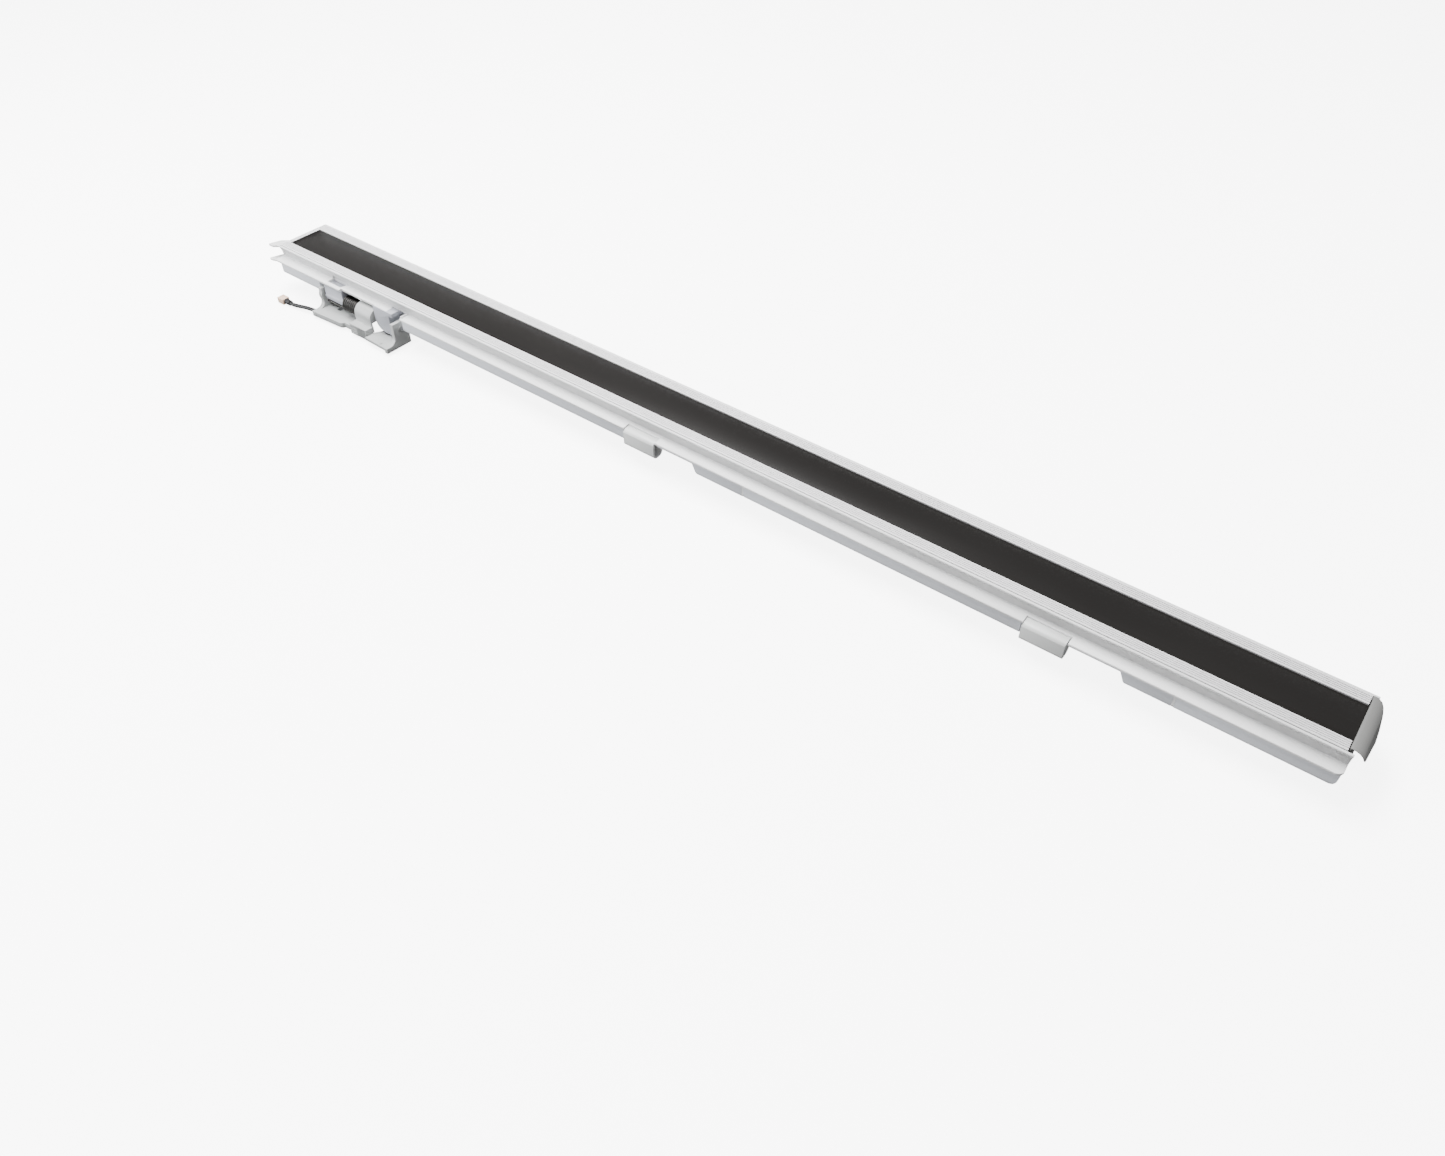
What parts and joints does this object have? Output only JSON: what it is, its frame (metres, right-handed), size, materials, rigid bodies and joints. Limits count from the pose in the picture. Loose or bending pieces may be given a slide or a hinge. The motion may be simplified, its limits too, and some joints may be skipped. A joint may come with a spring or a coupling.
{
  "type": "refrigerator door mullion",
  "caption": "Slim hinged seal bar for a pair of refrigerator doors: dark seal plate between ribbed white rails, domed guide nose, spring hinge bracket and short heater lead.",
  "frame": {"origin": "middle of the seal plate's outer face", "axes": "+X along the bar towards the domed guide nose, +Y away from the hinge side, +Z out of the seal face"},
  "size_m": [0.8026, 0.0688, 0.0365],
  "materials": {
    "dark_steel": "satin",
    "white_frame": "satin",
    "white_housing": "satin",
    "white_cover": "satin",
    "nose_plastic": "satin",
    "hook_plastic": "satin",
    "hinge_plastic": "satin",
    "bracket_plastic": "satin",
    "bush_plastic": "satin",
    "foam": "matte",
    "foil": "bright",
    "heater_silicone": "matte",
    "spring_steel": "dark",
    "pin_steel": "bright",
    "screw_zinc": "zinc",
    "lead_pvc": "satin",
    "sleeve_pvc": "satin",
    "connector_nylon": "satin",
    "contact_metal": "bright",
    "strip_white": "satin",
    "liner_rubber": "matte"
  },
  "bodies": {
    "bar": {"front_plate": "dark_steel", "front_frame": "white_frame", "housing": "white_housing", "rear_cover_left": "white_cover", "rear_cover_mid": "white_cover", "rear_cover_right": "white_cover", "left_end_cap": "white_housing", "guide_nose": "nose_plastic", "foam_core": "foam", "heater_foil": "foil", "heater_wire": "heater_silicone", "catch_hook_left": "hook_plastic", "catch_hook_right": "hook_plastic", "hinge_block": "hinge_plastic", "hinge_box": "hinge_plastic", "bush_left": "bush_plastic", "bush_right": "bush_plastic", "torsion_spring": "spring_steel", "cover_screws": "screw_zinc", "nose_screws": "screw_zinc", "seam_strip_left": "strip_white", "seam_strip_right": "strip_white", "pocket_liner": "liner_rubber"},
    "bracket": {"door_bracket": "bracket_plastic", "spring_barrel": "bracket_plastic", "hinge_pin": "pin_steel", "lead_grommet": "lead_pvc", "lead": "lead_pvc", "lead_sleeve": "sleeve_pvc", "connector_body": "connector_nylon", "connector_contacts": "contact_metal"}
  },
  "joints": [
    {"name": "bracket_hinge", "type": "hinge", "parent": "bar", "child": "bracket", "pos_m": [-0.302, -0.0234, -0.0206], "axis": [-1, 0, 0], "range_deg": [0, 90], "stiffness_Nm_per_rad": 0.03, "springref_deg": -28.65}
  ]
}
